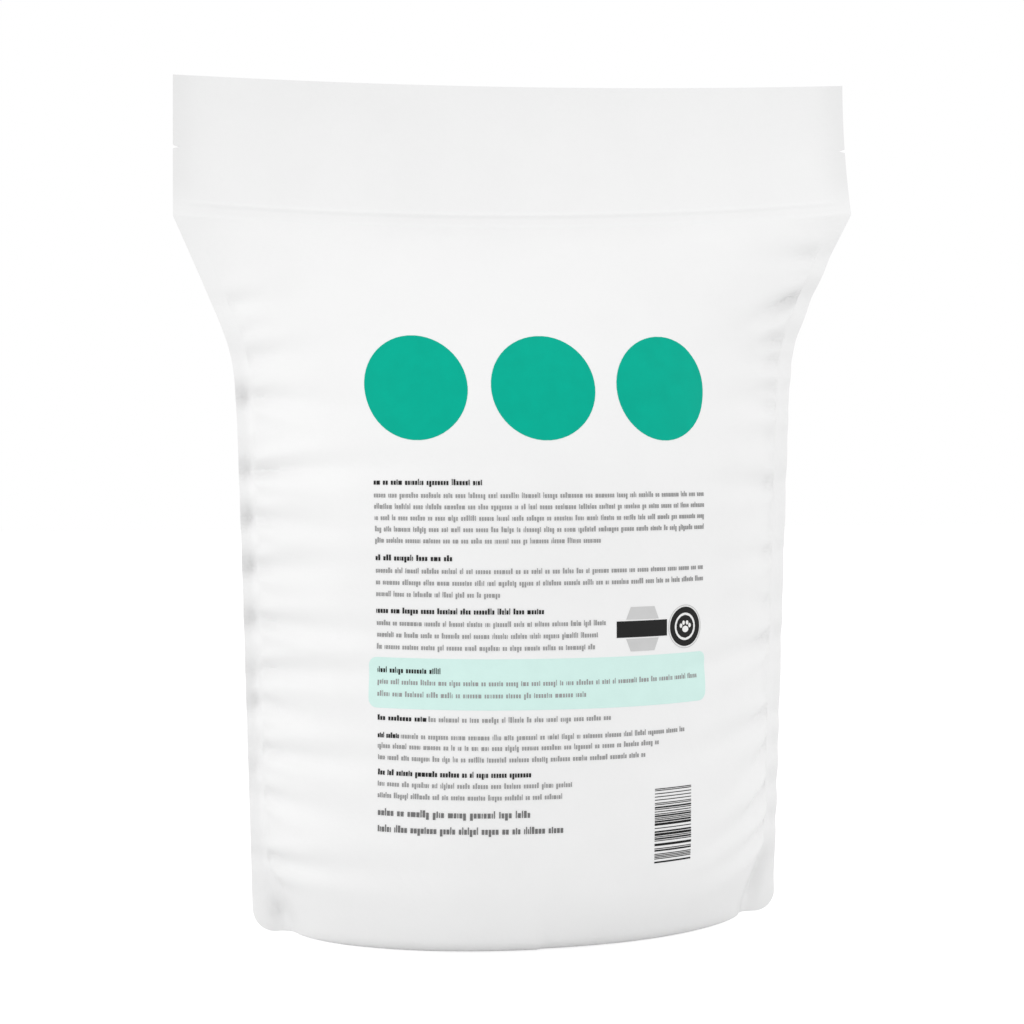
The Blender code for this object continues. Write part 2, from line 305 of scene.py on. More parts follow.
class PrintLayout(bpy.types.PropertyGroup):
    """Sizes of the print on the film."""

    ink_height: FloatProperty(
        name="Ink height", description="How far the first ink layer stands off the film",
        default=0.00012, unit="LENGTH", precision=5,
    )
    disc_diameter: FloatProperty(
        name="Disc diameter", description="Each of the three teal discs", default=0.048, unit="LENGTH",
    )
    disc_gap: FloatProperty(name="Disc gap", description="Between two discs", default=0.0105, unit="LENGTH")
    disc_height: FloatProperty(
        name="Disc height", description="Floor to the discs' centres", default=0.2555, unit="LENGTH",
    )
    band_bottom: FloatProperty(
        name="Band bottom", description="Floor to the mint band", default=0.1116, unit="LENGTH", precision=4,
    )
    band_height: FloatProperty(
        name="Band height", description="Height of the mint band", default=0.0227, unit="LENGTH", precision=4,
    )
    band_left: FloatProperty(
        name="Band left", description="Left end of the mint band, from the middle line",
        default=-0.0829, unit="LENGTH", precision=4,
    )
    band_right: FloatProperty(
        name="Band right", description="Right end of the mint band, from the middle line",
        default=0.0820, unit="LENGTH", precision=4,
    )
    band_corner: FloatProperty(
        name="Band corner", description="Corner radius of the mint band",
        default=0.0040, unit="LENGTH", precision=4,
    )
    x_height: FloatProperty(
        name="Text height", description="Height of a body line's small blocks",
        default=0.00165, unit="LENGTH", precision=5,
    )
    code_module: FloatProperty(
        name="Code module", description="Thinnest line of the bar pattern",
        default=0.00036, unit="LENGTH", precision=5,
    )


class PouchColours(bpy.types.PropertyGroup):
    """Colours of the film and the inks."""

    film: FloatVectorProperty(
        name="Film", description="White film", default=linear_colour("#EDEDED"), subtype="COLOR",
    )
    teal: FloatVectorProperty(
        name="Teal", description="Discs", default=linear_colour("#00A990"), subtype="COLOR",
    )
    mint: FloatVectorProperty(
        name="Mint", description="Band behind the fourth paragraph", default=linear_colour("#D0ECE6"),
        subtype="COLOR",
    )
    dark: FloatVectorProperty(
        name="Dark", description="Headings, bar pattern and badges", default=linear_colour("#262626"),
        subtype="COLOR",
    )
    grey: FloatVectorProperty(
        name="Grey", description="Body lines and hexagon", default=linear_colour("#9A9A9A"), subtype="COLOR",
    )


class StudioSetup(bpy.types.PropertyGroup):
    """Camera, floor and lamps."""

    camera_distance: FloatProperty(
        name="Camera distance", description="Camera to the pouch's axis", default=0.950, unit="LENGTH",
    )
    camera_height: FloatProperty(
        name="Camera height", description="Camera above the floor", default=0.2285, unit="LENGTH",
    )
    camera_turn: FloatProperty(
        name="Camera turn", description="Camera's place round the pouch, to the left of its printed face",
        default=math.radians(10), subtype="ANGLE",
    )
    lens: FloatProperty(name="Lens", description="Focal length in mm", default=69.2)
    shift_x: FloatProperty(
        name="Shift X", description="Camera shift, as a share of its width", default=-0.0078,
    )
    shift_y: FloatProperty(
        name="Shift Y", description="Camera shift, as a share of its width", default=-0.0635,
    )
    ambient: FloatProperty(name="Ambient", description="Strength of the even white light", default=1.09)
    left_power: FloatProperty(
        name="Left power", description="Large soft lamp on the left", default=5.0, unit="POWER",
    )
    right_power: FloatProperty(
        name="Right power", description="Large soft lamp on the right", default=2.5, unit="POWER",
    )
    floor_diffuse: FloatProperty(
        name="Floor shade", description="Share of the floor's white that takes shadows", default=0.30,
        subtype="FACTOR", min=0.0, max=1.0,
    )


def smooth_step(x):
    x = np.clip(x, 0.0, 1.0)
    return x * x * (3.0 - 2.0 * x)


def zip_height(form):
    return form.height - form.header_height


def outline_half_width(form, side, z):
    """From the middle to the cut edge of one side seal, before the lower corner is rounded."""
    angle = LEFT_SHOULDER_ANGLE if side == LEFT else RIGHT_SHOULDER_ANGLE
    shoulder = form.width / 2 - (zip_height(form) - z) * math.tan(angle)
    body = (form.base_width + (form.waist_width - form.base_width) * z / WAIST_HEIGHT) / 2
    rounded = (shoulder + body) / 2 + np.hypot((shoulder - body) / 2, SHOULDER_ROUNDING)
    return np.minimum(form.width / 2, rounded)


def corner_cut(z):
    """How much the rounded lower corner takes off the outline at height z."""
    rise = np.maximum(0.0, CORNER_RADIUS - z)
    return CORNER_RADIUS - np.sqrt(CORNER_RADIUS**2 - rise**2)


def bulge_half_width(form, side, z):
    """From the middle to the inner edge of one side seal, which runs in at the ears."""
    along_seal = outline_half_width(form, side, z) - form.seal_width
    ear = 1.0 - smooth_step(z / EAR_HEIGHT)
    return along_seal + (form.foot_length / 2 - along_seal) * ear


def bulge_half_depth(form, z):
    """How far the middle of a panel stands out of the pouch's middle plane at height z."""
    under_zip = np.clip((zip_height(form) - z) / (zip_height(form) - FULL_HEIGHT), 0.0, 1.0)
    top = np.sin(math.pi / 2 * under_zip**SHOULDER_FULLNESS)
    lift = np.minimum(1.0, z / FOOT_HEIGHT)
    foot = (1.0 - (1.0 - lift) ** FOOT_SQUARENESS) ** FOOT_SECTION_POWER
    drawn_in = (form.depth - form.foot_depth) / 2 * (1.0 - foot)
    below = np.maximum(0.0, FOOT_ROLL - z)
    rolled_in = FOOT_ROLL - np.sqrt(FOOT_ROLL**2 - below**2)
    return top * (form.depth / 2 - drawn_in - rolled_in)


def panel_rise(form, z, across):
    """How far a panel stands out at a place across its bulge, from -1 at the left seal to 1 at the right."""
    under_zip = smooth_step((zip_height(form) - z) / (zip_height(form) - FULL_HEIGHT))
    lifted = FOOT_SECTION_POWER + (SECTION_POWER - FOOT_SECTION_POWER) * smooth_step(z / FOOT_HEIGHT)
    power = ZIP_SECTION_POWER + (lifted - ZIP_SECTION_POWER) * under_zip
    inside = np.maximum(0.0, 1.0 - np.abs(across) ** SECTION_SQUARENESS)
    return bulge_half_depth(form, z) * inside**power


def header_share(form, z):
    """0 at the zip, 1 at the cut top edge."""
    return np.maximum(0.0, (z - zip_height(form)) / form.header_height)


def header_reach(form, z):
    """1 in the header, fading to 0 below the zip."""
    return smooth_step((z - zip_height(form) + SAG_REACH) / SAG_REACH)


def middle_plane(form, x, z):
    """Y of the middle plane, which bends a little in the header."""
    along = x / (form.width / 2)
    to_right = ((1.0 + along) / 2) ** 2
    share = header_share(form, z)
    lean = HEADER_LEAN * to_right * (share - LEAN_PIVOT)
    curl = HEADER_CURL * 4.0 * share * (1.0 - share)
    return header_reach(form, z) * (lean + curl + HEADER_BOW * (1.0 - along**2))


def sagged(form, z, x):
    """Height of a point that lies at height z on the pouch's middle line, out at x."""
    along = x / (form.width / 2)
    sag = ZIP_SAG + (TOP_SAG - ZIP_SAG) * header_share(form, z)
    return z + header_reach(form, z) * (sag * along**2 + HEADER_TILT * along)


def loose_film(form, z):
    """Extra thickness where the two header panels lie loosely together."""
    return (HEADER_THICKNESS - SEAL_THICKNESS) * smooth_step((z - zip_height(form)) / ZIP_BAND + 1.0)


def zip_ridges(form, x, z):
    """The two tracks of the zip press through the film, most at the middle of the pouch."""
    middle = 1.0 - RIDGE_END_LOSS * (x / (form.width / 2)) ** 2
    ridge = 0.0
    for height, share in ((zip_height(form), LOWER_RIDGE_SHARE), (zip_height(form) + ZIP_BAND, 1.0)):
        ridge = ridge + share * np.exp(-(((z - height) / ZIP_RIDGE_HALF) ** 2))
    return ZIP_RIDGE * middle * ridge


def pucker_fade(form, z):
    """Puckers die out at the zip and at the floor."""
    return smooth_step((zip_height(form) - z) / FADE_BELOW_ZIP) * smooth_step(z / FADE_ABOVE_FLOOR)


def back_puckers(puckers):
    """The back panel gathers between the front panel's puckers."""
    return [((high[0] + low[0]) / 2, low[1], high[2], low[3]) for high, low in zip(puckers, puckers[1:])]


PUCKERS = {
    (FRONT, LEFT): LEFT_PUCKERS,
    (FRONT, RIGHT): RIGHT_PUCKERS,
    (BACK, LEFT): back_puckers(LEFT_PUCKERS),
    (BACK, RIGHT): back_puckers(RIGHT_PUCKERS),
}


def fine_creases(creases, face, side):
    """Small creases between the puckers, drawn at random and short."""
    draw = np.random.default_rng([creases.seed, face + 1, side + 1])
    count = creases.fine_creases
    heights = draw.uniform(*FINE_HEIGHTS, count)
    depths = draw.uniform(*FINE_DEPTHS, count) * creases.fine_depth
    reaches = draw.uniform(*FINE_REACHES, count)
    rises = draw.uniform(*FINE_RISES, count)
    return list(zip(heights, depths, reaches, rises))


def crease_pull(z, inward, creases, half_height, seam_gain):
    """How far creases pull the film in at a height and a distance inward from the seal."""
    total = np.zeros(np.broadcast(z, inward).shape)
    for height, depth, reach, rise in creases:
        widening = PUCKER_NARROW + (1.0 - PUCKER_NARROW) * np.minimum(1.0, inward / reach)
        offset = (z - height - rise * inward) / (half_height * widening)
        valley = np.exp(-(offset**2))
        pillow = PILLOW_SHARE * np.exp(-((np.abs(offset) - PILLOW_OFFSET) ** 2))
        total += depth * (valley - pillow) * np.exp(-((inward / reach) ** CREASE_FADE_POWER))
    total *= 1.0 + seam_gain * np.exp(-inward / PUCKER_SEAM_REACH)
    return total * (1.0 - np.exp(-inward / PUCKER_START))


def seal_wave(form, side, z):
    """The seal itself weaves back at the front panel's puckers and forward at the back panel's."""
    wave = 0.0
    for face, share in ((FRONT, 1.0), (BACK, BACK_WAVE_SHARE)):
        for height, depth, _, _ in PUCKERS[face, side]:
            pinch = depth / WAVE_PUCKER * np.exp(-(((z - height) / SEAL_WAVE_HALF_HEIGHT) ** 2))
            wave = wave - face * share * pinch
    deepest = LEFT_SEAL_WAVE if side == LEFT else RIGHT_SEAL_WAVE
    return deepest * wave * pucker_fade(form, z)


def seal_pits(side, z, outward):
    """How far a side seal's pits reach back, at a distance outward from the seam."""
    pushed = 0.0
    for height, depth in LEFT_PITS if side == LEFT else RIGHT_PITS:
        pushed = pushed + depth * np.exp(-(((z - height) / PIT_HALF_HEIGHT) ** 2))
    return pushed * np.exp(-(((outward - PIT_FROM_SEAM) / PIT_HALF_WIDTH) ** 2))


def panel_dents(form, creases, face, points):
    """Shallow swells and dents where the loose litter presses, drawn at random over the panel."""
    draw = np.random.default_rng([creases.seed, DENT_STREAM + face])
    x, z = points[..., 0], points[..., 2]
    swell = np.zeros(x.shape)
    for _ in range(creases.dents):
        centre_x = draw.uniform(*DENT_PLACES) * form.base_width
        centre_z = draw.uniform(*DENT_HEIGHTS) * zip_height(form)
        radius = draw.uniform(*DENT_RADII)
        depth = draw.uniform(-1.0, 1.0) * creases.dent_depth
        swell += depth * np.exp(-((x - centre_x) ** 2 + (z - centre_z) ** 2) / radius**2)
    return swell * pucker_fade(form, z)


def row_table(form):
    """Heights of the mesh rows from the floor to the top edge, and the notch depth of each."""
    top, notch_at = form.height, form.height - NOTCH_DROP
    zip_low = zip_height(form) - 2 * ZIP_RIDGE_HALF
    zip_high = zip_height(form) + ZIP_BAND + 2 * ZIP_RIDGE_HALF
    corner = [CORNER_RADIUS * (i / CORNER_ROWS) ** 2 for i in range(CORNER_ROWS)]
    stretches = (
        (CORNER_RADIUS, zip_low, ROW_STEP),
        (zip_low, zip_high, ZIP_ROW_STEP),
        (zip_high, notch_at - NOTCH_MOUTH / 2, ROW_STEP),
        (notch_at - NOTCH_MOUTH / 2, notch_at + NOTCH_MOUTH / 2, NOTCH_MOUTH / 4),
        (notch_at + NOTCH_MOUTH / 2, top, ROW_STEP),
    )
    heights = list(corner)
    for start, end, step in stretches:
        count = round((end - start) / step)
        heights += [start + (end - start) * i / count for i in range(count)]
    heights = np.array(heights + [top])
    notch = NOTCH_DEPTH * np.clip(1.0 - np.abs(heights - notch_at) / (NOTCH_MOUTH / 2), 0.0, 1.0)
    return heights, notch


def unit(vectors):
    return vectors / np.maximum(np.linalg.norm(vectors, axis=-1, keepdims=True), 1e-12)


def grid_normals(points):
    """Normals of a grid whose rows run up and whose columns run to the right, towards -Y."""
    return unit(np.cross(np.gradient(points, axis=1), np.gradient(points, axis=0)))


def arc_lengths(points):
    """Distance along each row from its first column."""
    steps = np.linalg.norm(np.diff(points, axis=1), axis=2)
    return np.concatenate([np.zeros((len(points), 1)), np.cumsum(steps, axis=1)], axis=1)


def round_seams(points, arcs, seam_arcs, rounding):
    """Rounds each row where its panel leaves the seals, by a blur along the row that fades away from them."""
    reach = SEAM_BLUR_REACH * rounding
    nearest = np.min([np.abs(arcs - seam[:, None]) for seam in seam_arcs], axis=0)
    blur = np.maximum(rounding * np.exp(-((nearest / reach) ** 2)), 1e-6)
    spacing = np.gradient(arcs, axis=1)
    rounded = points.copy()
    for row in range(len(points)):
        soft = np.nonzero(blur[row] > SEAM_BLUR_CUT * rounding)[0]
        gap = arcs[row][soft, None] - arcs[row][None, :]
        weight = np.exp(-0.5 * (gap / blur[row][soft, None]) ** 2) * spacing[row][None, :]
        weight /= weight.sum(axis=1, keepdims=True)
        rounded[row][soft] = weight @ points[row]
    rounded[:, 0], rounded[:, -1] = points[:, 0], points[:, -1]
    return rounded


def side_creases(form, creases, face, side, z, inward):
    """How far the puckers and the fine creases at one side seal pull the film in."""
    gain = LEFT_SEAM_GAIN if side == LEFT else RIGHT_SEAM_GAIN
    large = crease_pull(z, inward, PUCKERS[face, side], PUCKER_HALF_HEIGHT, gain)
    small = fine_creases(creases, face, side)
    fine = crease_pull(z, inward, small, FINE_HALF_HEIGHT * PUCKER_HALF_HEIGHT, 0.0)
    return (creases.pucker_gain * large + fine) * pucker_fade(form, z)


def seal_shift(form, side, z, outward):
    """How far one side seal and the film beside it stand back, at a distance outward from the seam."""
    inward = np.maximum(0.0, -outward)
    weave = seal_wave(form, side, z) * np.exp(-inward / form.seal_width)
    slope = LEFT_FIN_SLOPE if side == LEFT else RIGHT_FIN_SLOPE
    turned = slope * pucker_fade(form, z) * np.maximum(0.0, outward)
    return weave + turned + seal_pits(side, z, outward)


def smooth_panel(form, face, z, notch):
    """One panel with its two halves of the side seals, before any crease."""
    fin = np.linspace(0.0, 1.0, FIN_COLUMNS + 1)[None, :]
    across = np.sin(math.pi / 2 * (2 * np.arange(1, BULGE_COLUMNS) / BULGE_COLUMNS - 1))[None, :]
    inner = {}
    fin_x = {}
    for side in (LEFT, RIGHT):
        edge = outline_half_width(form, side, z) - corner_cut(z) - notch[:, None]
        inner[side] = bulge_half_width(form, side, z)
        fin_x[side] = edge + (inner[side] - edge) * fin
    bulge_x = across * np.where(across < 0.0, inner[LEFT], inner[RIGHT])
    x = np.concatenate([-fin_x[LEFT], bulge_x, fin_x[RIGHT][:, ::-1]], axis=1)

    flat = np.full(fin_x[LEFT].shape, SEAL_THICKNESS / 2)
    skin = (SEAL_THICKNESS + loose_film(form, z)) / 2
    rise = panel_rise(form, z, across) + skin + zip_ridges(form, bulge_x, z)
    y = middle_plane(form, x, z) + face * np.concatenate([flat, rise, flat], axis=1)
    return np.stack([x, y, sagged(form, z, x)], axis=2)


def panel_grid(form, creases, face, heights, notch):
    """One creased panel with its seals: rows from the floor up, columns from left to right."""
    z = heights[:, None]
    points = smooth_panel(form, face, z, notch)
    arcs = arc_lengths(points)
    seams = (arcs[:, FIN_COLUMNS], arcs[:, -1 - FIN_COLUMNS])
    points = round_seams(points, arcs, seams, creases.seam_rounding)
    normals = -face * grid_normals(points)
    arcs = arc_lengths(points)
    middle = points.shape[1] // 2
    pull = -panel_dents(form, creases, face, points)
    for side in (LEFT, RIGHT):
        seam = arcs[:, FIN_COLUMNS, None] if side == LEFT else arcs[:, -1 - FIN_COLUMNS, None]
        own = slice(0, middle) if side == LEFT else slice(middle, None)
        outward = side * (arcs - seam)
        inward = np.maximum(0.0, -outward)
        pull[:, own] += side_creases(form, creases, face, side, z, inward)[:, own]
        points[:, own, 1] += seal_shift(form, side, z, outward)[:, own]
        if side == RIGHT:
            tuck = FOOT_TUCK * (1.0 - smooth_step(z / TUCK_HEIGHT)) * np.exp(-inward / TUCK_REACH)
            points[:, own, 1] *= 1.0 - tuck[:, own]
    return points - normals * pull[..., None]


def quad_strip(lower, upper):
    """Quads between two closed rings of vertex numbers."""
    after = np.roll(lower, -1), np.roll(upper, -1)
    return np.stack([lower, after[0], after[1], upper], axis=1)


def close_quads(ring, upward):
    """Quads across a ring, from each front vertex to the back vertex opposite."""
    half = len(ring) // 2
    back = ring[::-1]
    quads = np.stack([ring[: half - 1], ring[1:half], back[1:half], back[: half - 1]], axis=1)
    return quads if upward else quads[:, ::-1]


def pouch_mesh(form, creases):
    """Vertices, faces, and the masks of the side seals and of the painted shade at the header's ends."""
    heights, notch = row_table(form)
    front = panel_grid(form, creases, FRONT, heights, notch)
    back = panel_grid(form, creases, BACK, heights, notch)
    rings = np.concatenate([front, back[:, ::-1]], axis=1)
    row_count, ring_size = rings.shape[:2]
    numbers = np.arange(row_count * ring_size).reshape(row_count, ring_size)
    faces = [quad_strip(low, high) for low, high in zip(numbers, numbers[1:])]
    faces.append(close_quads(numbers[-1], upward=True))

    # The ears' lower edges close by themselves, and the folded bottom fills what lies between them.
    columns, floor = ring_size // 2, numbers[0]
    ear = np.concatenate([floor[: FIN_COLUMNS + 1], floor[-FIN_COLUMNS - 1 :]])
    faces.append(close_quads(ear, upward=False))
    ear = floor[columns - FIN_COLUMNS - 1 : columns + FIN_COLUMNS + 1]
    faces.append(close_quads(ear, upward=False))
    foot = np.concatenate([
        floor[FIN_COLUMNS : columns - FIN_COLUMNS], floor[columns + FIN_COLUMNS : -FIN_COLUMNS]
    ])
    points = [rings.reshape(-1, 3)]
    outline, previous = points[0][foot], foot
    for share, height in GUSSET_STEPS:
        start = sum(len(part) for part in points)
        points.append(outline * (share, share, 0.0) + (0.0, 0.0, height))
        current = np.arange(start, start + len(foot))
        faces.append(quad_strip(current, previous))
        previous = current
    faces.append(close_quads(previous, upward=False))

    seal = np.zeros((row_count, columns))
    seal[:, : FIN_COLUMNS + 1] = 1.0
    seal[:, -1 - FIN_COLUMNS :] = 1.0
    # Mask of the painted shade: the film's colour is darkened along both ends of the header, fading in above
    # the zip
    in_header = smooth_step(header_share(form, heights) / PAINTED_SHADE_START)[:, None]
    from_edge = form.width / 2 - np.abs(front[..., 0])
    masks = {"seal": seal, "painted_header_shade": in_header * np.exp(-((from_edge / PAINTED_SHADE_REACH) ** 2))}
    for name, mask in masks.items():
        spread = np.zeros(sum(len(part) for part in points))
        spread[: row_count * ring_size] = np.concatenate([mask, mask], axis=1).ravel()
        masks[name] = spread
    return np.concatenate(points), np.concatenate(faces), masks


def mesh_object(name, points, faces, material):
    """A smooth-shaded mesh object in the scene."""
    data = bpy.data.meshes.new(name)
    data.from_pydata(points.tolist(), [], faces.tolist())
    data.validate()
    data.shade_smooth()
    data.set_sharp_from_angle(angle=math.radians(SHARP_ANGLE))
    data.materials.append(material)
    made = bpy.data.objects.new(name, data)
    bpy.context.scene.collection.objects.link(made)
    return made


class FilmMap:
    """Places on the front panel, by distance along the film from the middle line and by row height."""

    def __init__(self, form, pouch):
        self.heights, _ = row_table(form)
        columns = BULGE_COLUMNS - 1 + 2 * (FIN_COLUMNS + 1)
        points = np.empty(3 * len(pouch.data.vertices), dtype=np.float32)
        pouch.data.vertices.foreach_get("co", points)
        rings = points[: 3 * len(self.heights) * 2 * columns].reshape(len(self.heights), 2 * columns, 3)
        self.points = rings[:, :columns].astype(float)
        self.normals = grid_normals(self.points)
        arcs = arc_lengths(self.points)
        self.arcs = arcs - arcs[:, columns // 2, None]

    def on_row(self, row, u):
        """Points and normals at the places u of the rows with these numbers."""
        arcs = self.arcs[row]
        column = np.clip((arcs <= u[:, None]).sum(axis=1) - 1, 0, arcs.shape[1] - 2)
        each = np.arange(len(u))
        start, end = arcs[each, column], arcs[each, column + 1]
        share = ((u - start) / (end - start))[:, None]
        point = self.points[row, column] * (1.0 - share) + self.points[row, column + 1] * share
        normal = self.normals[row, column] * (1.0 - share) + self.normals[row, column + 1] * share
        return point, normal

    def at(self, u, z, lift):
        """Points that stand off the film by lift, at places u and z of any one shape."""
        flat_u, flat_z = np.ravel(u), np.ravel(z)
        row = np.clip(np.searchsorted(self.heights, flat_z) - 1, 0, len(self.heights) - 2)
        share = ((flat_z - self.heights[row]) / (self.heights[row + 1] - self.heights[row]))[:, None]
        low, low_normal = self.on_row(row, flat_u)
        high, high_normal = self.on_row(row + 1, flat_u)
        normal = unit(low_normal * (1.0 - share) + high_normal * share)
        placed = low * (1.0 - share) + high * share + lift * normal
        return placed.reshape(*np.shape(u), 3)


class InkLayer:
    """Collects closed shells of ink on the film, for one object."""

    def __init__(self, film, lift):
        self.film = film
        self.lift = lift
        self.points = []
        self.faces = []
        self.count = 0

    def add(self, u, z, closed=False):
        """Shells over grids of film places. The last two axes run up and to the right, or round if closed."""
        if np.ndim(u) == 2:
            u, z = u[None], z[None]
        shells, rows, columns = u.shape
        top = np.arange(rows * columns).reshape(rows, columns)
        wrapped = np.concatenate([top, top[:, :1]], axis=1) if closed else top
        quads = np.stack([wrapped[:-1, :-1], wrapped[:-1, 1:], wrapped[1:, 1:], wrapped[1:, :-1]], axis=-1)
        quads = quads.reshape(-1, 4)
        under = quads[:, ::-1] + rows * columns
        rims = [wrapped[0][::-1], wrapped[-1]]
        if not closed:
            rims += [top[:, 0], top[::-1, -1]]
        walls = []
        for rim in rims:
            below = rim + rows * columns
            walls.append(np.stack([rim[:-1], rim[1:], below[1:], below[:-1]], axis=1))
        walls = np.concatenate(walls)[:, ::-1]
        faces = np.concatenate([quads, under, walls])
        size = 2 * rows * columns
        starts = self.count + size * np.arange(shells)
        self.faces.append((faces[None] + starts[:, None, None]).reshape(-1, 4))
        upper = self.film.at(u, z, self.lift).reshape(shells, -1, 3)
        lower = self.film.at(u, z, -INK_ROOT).reshape(shells, -1, 3)
        self.points.append(np.concatenate([upper, lower], axis=1).reshape(-1, 3))
        self.count += size * shells

    def add_rows(self, rows):
        """One shell whose outline is given by rows of height, left end and right end."""
        z, left, right = (np.array(values)[:, None] for values in zip(*rows))
        columns = max(2, math.ceil(float((right - left).max()) / PRINT_STEP) + 1)
        share = np.linspace(0.0, 1.0, columns)[None, :]
        self.add(left + (right - left) * share, z + 0.0 * share)

    def add_oval(self, u, z, half_width, half_height):
        count = max(6, math.ceil(2 * half_height / PRINT_STEP) + 2)
        turns = np.linspace(-OVAL_END, OVAL_END, count)
        self.add_rows([
            (z + half_height * math.sin(t), u - half_width * math.cos(t), u + half_width * math.cos(t))
            for t in turns
        ])

    def add_block(self, left, right, bottom, top, corner=0.0):
        """A rectangle, with rounded corners if corner is more than 0."""
        inset, rise = [0.0], [0.0]
        if corner > 0.0:
            turns = [math.pi / 2 * i / CORNER_STEPS for i in range(CORNER_STEPS + 1)]
            inset = [corner * (1.0 - math.sin(turn)) for turn in turns]
            rise = [corner * (1.0 - math.cos(turn)) for turn in turns]
        between = max(1, round((top - bottom - 2 * corner) / PRINT_STEP))
        straight = [bottom + corner + (top - bottom - 2 * corner) * i / between for i in range(1, between)]
        rows = [(bottom + up, left + cut, right - cut) for up, cut in zip(rise, inset)]
        rows += [(z, left, right) for z in straight]
        rows += [(top - up, left + cut, right - cut) for up, cut in zip(rise[::-1], inset[::-1])]
        self.add_rows(rows)

    def add_ring(self, u, z, inner, outer):
        turns = np.linspace(0.0, 2 * math.pi, RING_STEPS + 1)[:-1][None, ::-1]
        radius = np.array([[inner], [outer]])
        self.add(u + radius * np.cos(turns), z + radius * np.sin(turns), closed=True)

    def make(self, name, material):
        made = mesh_object(name, np.concatenate(self.points), np.concatenate(self.faces), material)
        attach(made, "root")


# Materials


def add_node(tree, kind, settings=None, links=None):
    """Adds a node. Settings name its properties or inputs; links join an input to a node's output."""
    node = tree.nodes.new(kind)
    for name, value in (settings or {}).items():
        if isinstance(name, int) or name in node.inputs:
            node.inputs[name].default_value = value
        else:
            setattr(node, name, value)
    for name, (source, output) in (links or {}).items():
        tree.links.new(source.outputs[output], node.inputs[name])
    return node


def empty_material(name):
    material = bpy.data.materials.new(name)
    material.use_nodes = True
    material.node_tree.nodes.clear()
    return material, material.node_tree


def shade_of(colour, factor):
    return (*[channel * factor for channel in colour], 1.0)


def halfway_colour(one, other):
    """The colour halfway between two."""
    return [0.5 * (a + b) for a, b in zip(one, other)]


GRANULE = 0.0026  # litter granules are 1 to 3 mm across and print through the thin film
GRANULE_HEIGHT = 0.0006
GRANULE_BUMP = 0.10
FILM_GRAIN = 0.0009  # the matte lacquer is finer than this, and is drawn as coarse as it needs to show
GRAIN_HEIGHT = 0.0002
GRAIN_BUMP = 0.06
NOISE_LOW, NOISE_HIGH = 0.3, 0.7  # most of a noise lies between these
PLASTIC_IOR = 1.5
MOTTLE = 0.035
MOTTLE_RAMP = (0.35, 0.65)
MOTTLE_SHADE = 0.985
SHEEN_PATCH = 0.012
FILM_ROUGHNESS = (0.44, 0.54)
SEAL_SMOOTHNESS = 0.12  # a welded seal is less rough by this much
FILM_SPECULAR = 0.4
PAINTED_SHADE = 0.06  # painted shade: the film's colour is darkened by this share at the header's ends, in place of shade
PAINTED_SHADE_START = 0.30  # of the header's height, where the painted shade is full
PAINTED_SHADE_REACH = 0.0110
INK_CLOUD = 0.008
INK_ROUGHNESS_SPREAD = 0.05
INK_SPECULAR = 0.06  # the lacquer scatters little over the inks, which stay saturated


def film_relief(tree, place):
    """Bump of the granules under the film and of its matte lacquer."""
    granules = add_node(tree, "ShaderNodeTexNoise", {"Scale": 1 / GRANULE, "Detail": 2.0}, {"Vector": place})
    grain = add_node(tree, "ShaderNodeTexNoise", {"Scale": 1 / FILM_GRAIN, "Detail": 3.0}, {"Vector": place})
    coarse = add_node(
        tree, "ShaderNodeBump", {"Strength": GRANULE_BUMP, "Distance": GRANULE_HEIGHT},
        {"Height": (granules, "Fac")},
    )
    return add_node(
        tree,
        "ShaderNodeBump",
        {"Strength": GRAIN_BUMP, "Distance": GRAIN_HEIGHT},
        {"Height": (grain, "Fac"), "Normal": (coarse, "Normal")},
    )


